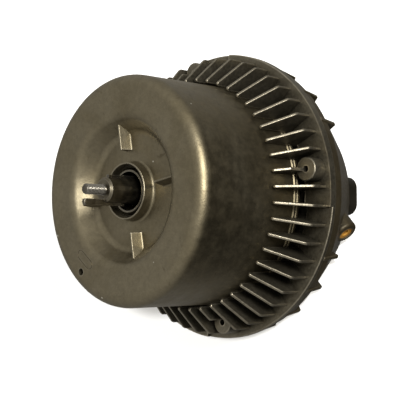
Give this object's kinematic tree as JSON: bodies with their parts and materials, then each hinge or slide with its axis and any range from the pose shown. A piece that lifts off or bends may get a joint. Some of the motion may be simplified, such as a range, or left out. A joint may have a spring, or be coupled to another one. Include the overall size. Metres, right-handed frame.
{
  "type": "external rotor blower motor",
  "caption": "External-rotor blower motor: deep-drawn rotor cup with a keyed, studded shaft, finned stator flange, conical electronics housing and a flat rear cover.",
  "frame": {"origin": "on the shaft axis, in the plane of the rear cover's pad on which the motor stands", "axes": "+Z along the shaft, out of the rotor cup; +X through the smooth side of the electronics housing, near the connector"},
  "size_m": [0.1476, 0.1476, 0.1414],
  "materials": {
    "cup_steel": "satin zinc-iron plated, warm grey",
    "turned_steel": "fine turned",
    "shaft_steel": "ground",
    "stud_steel": "bright zinc",
    "bearing_steel": "polished",
    "spring_steel": "phosphated",
    "zinc_steel": "bright zinc",
    "ferrite": "matte",
    "lamination_steel": "blued",
    "cast_aluminium": "die-cast, as cast",
    "cast_housing": "die-cast, as cast",
    "copper_wire": "enamelled",
    "contact_brass": "bright",
    "white_nylon": "moulded",
    "black_plastic": "glass-filled, moulded",
    "black_epoxy": "matte",
    "green_plastic": "moulded",
    "circuit_board": "solder mask",
    "capacitor_sleeve": "shrink sleeve",
    "black_rubber": "matte",
    "orange_silicone": "matte"
  },
  "bodies": {
    "root": {"stator_flange": "cast_aluminium", "lead_grommet": "black_rubber", "stator_core": "lamination_steel", "front_insulator": "white_nylon", "rear_insulator": "white_nylon", "phase_u_coils": "copper_wire", "phase_v_coils": "copper_wire", "phase_w_coils": "copper_wire", "hall_board": "circuit_board", "hall_board_posts": "white_nylon", "hall_sensors": "black_epoxy", "phase_leads": "copper_wire", "electronics_housing": "cast_housing", "entry_seal": "orange_silicone", "housing_gasket": "black_rubber", "board_carrier": "white_nylon", "carrier_screws": "zinc_steel", "board_screws": "zinc_steel", "control_board": "circuit_board", "bulk_capacitors": "capacitor_sleeve", "line_choke": "copper_wire", "power_transistors": "black_epoxy", "controller_chip": "black_epoxy", "terminal_block": "green_plastic", "rear_cover": "black_plastic", "cover_gasket": "black_rubber", "cover_screws": "zinc_steel", "post_spacers": "zinc_steel", "socket_pins": "contact_brass", "preload_spring": "spring_steel", "front_bearing_outer_race": "bearing_steel", "front_bearing_shields": "spring_steel", "rear_bearing_outer_race": "bearing_steel", "rear_bearing_shields": "spring_steel"},
    "rotor": {"rotor_cup": "cup_steel", "rotor_hub": "turned_steel", "rotor_magnets": "ferrite", "motor_shaft": "shaft_steel", "shaft_stud": "stud_steel", "drive_tang": "shaft_steel", "shaft_key": "stud_steel", "shaft_spacer": "turned_steel", "retaining_ring": "spring_steel", "front_bearing_inner_race": "bearing_steel", "rear_bearing_inner_race": "bearing_steel"},
    "front_ball_cage": {"front_bearing_cage": "spring_steel", "front_bearing_balls": "bearing_steel"},
    "rear_ball_cage": {"rear_bearing_cage": "spring_steel", "rear_bearing_balls": "bearing_steel"}
  },
  "joints": [
    {"name": "rotor_spin", "type": "hinge", "parent": "root", "child": "rotor", "pos_m": [0, 0, 0.08], "axis": [0, 0, 1], "continuous": true},
    {"name": "front_cage_spin", "type": "hinge", "parent": "root", "child": "front_ball_cage", "pos_m": [0, 0, 0.089], "axis": [0, 0, 1], "continuous": true},
    {"name": "rear_cage_spin", "type": "hinge", "parent": "root", "child": "rear_ball_cage", "pos_m": [0, 0, 0.039], "axis": [0, 0, 1], "continuous": true}
  ],
  "couplings": [
    {"joint": "front_cage_spin", "follows": "rotor_spin", "ratio": 0.381},
    {"joint": "rear_cage_spin", "follows": "rotor_spin", "ratio": 0.381}
  ]
}
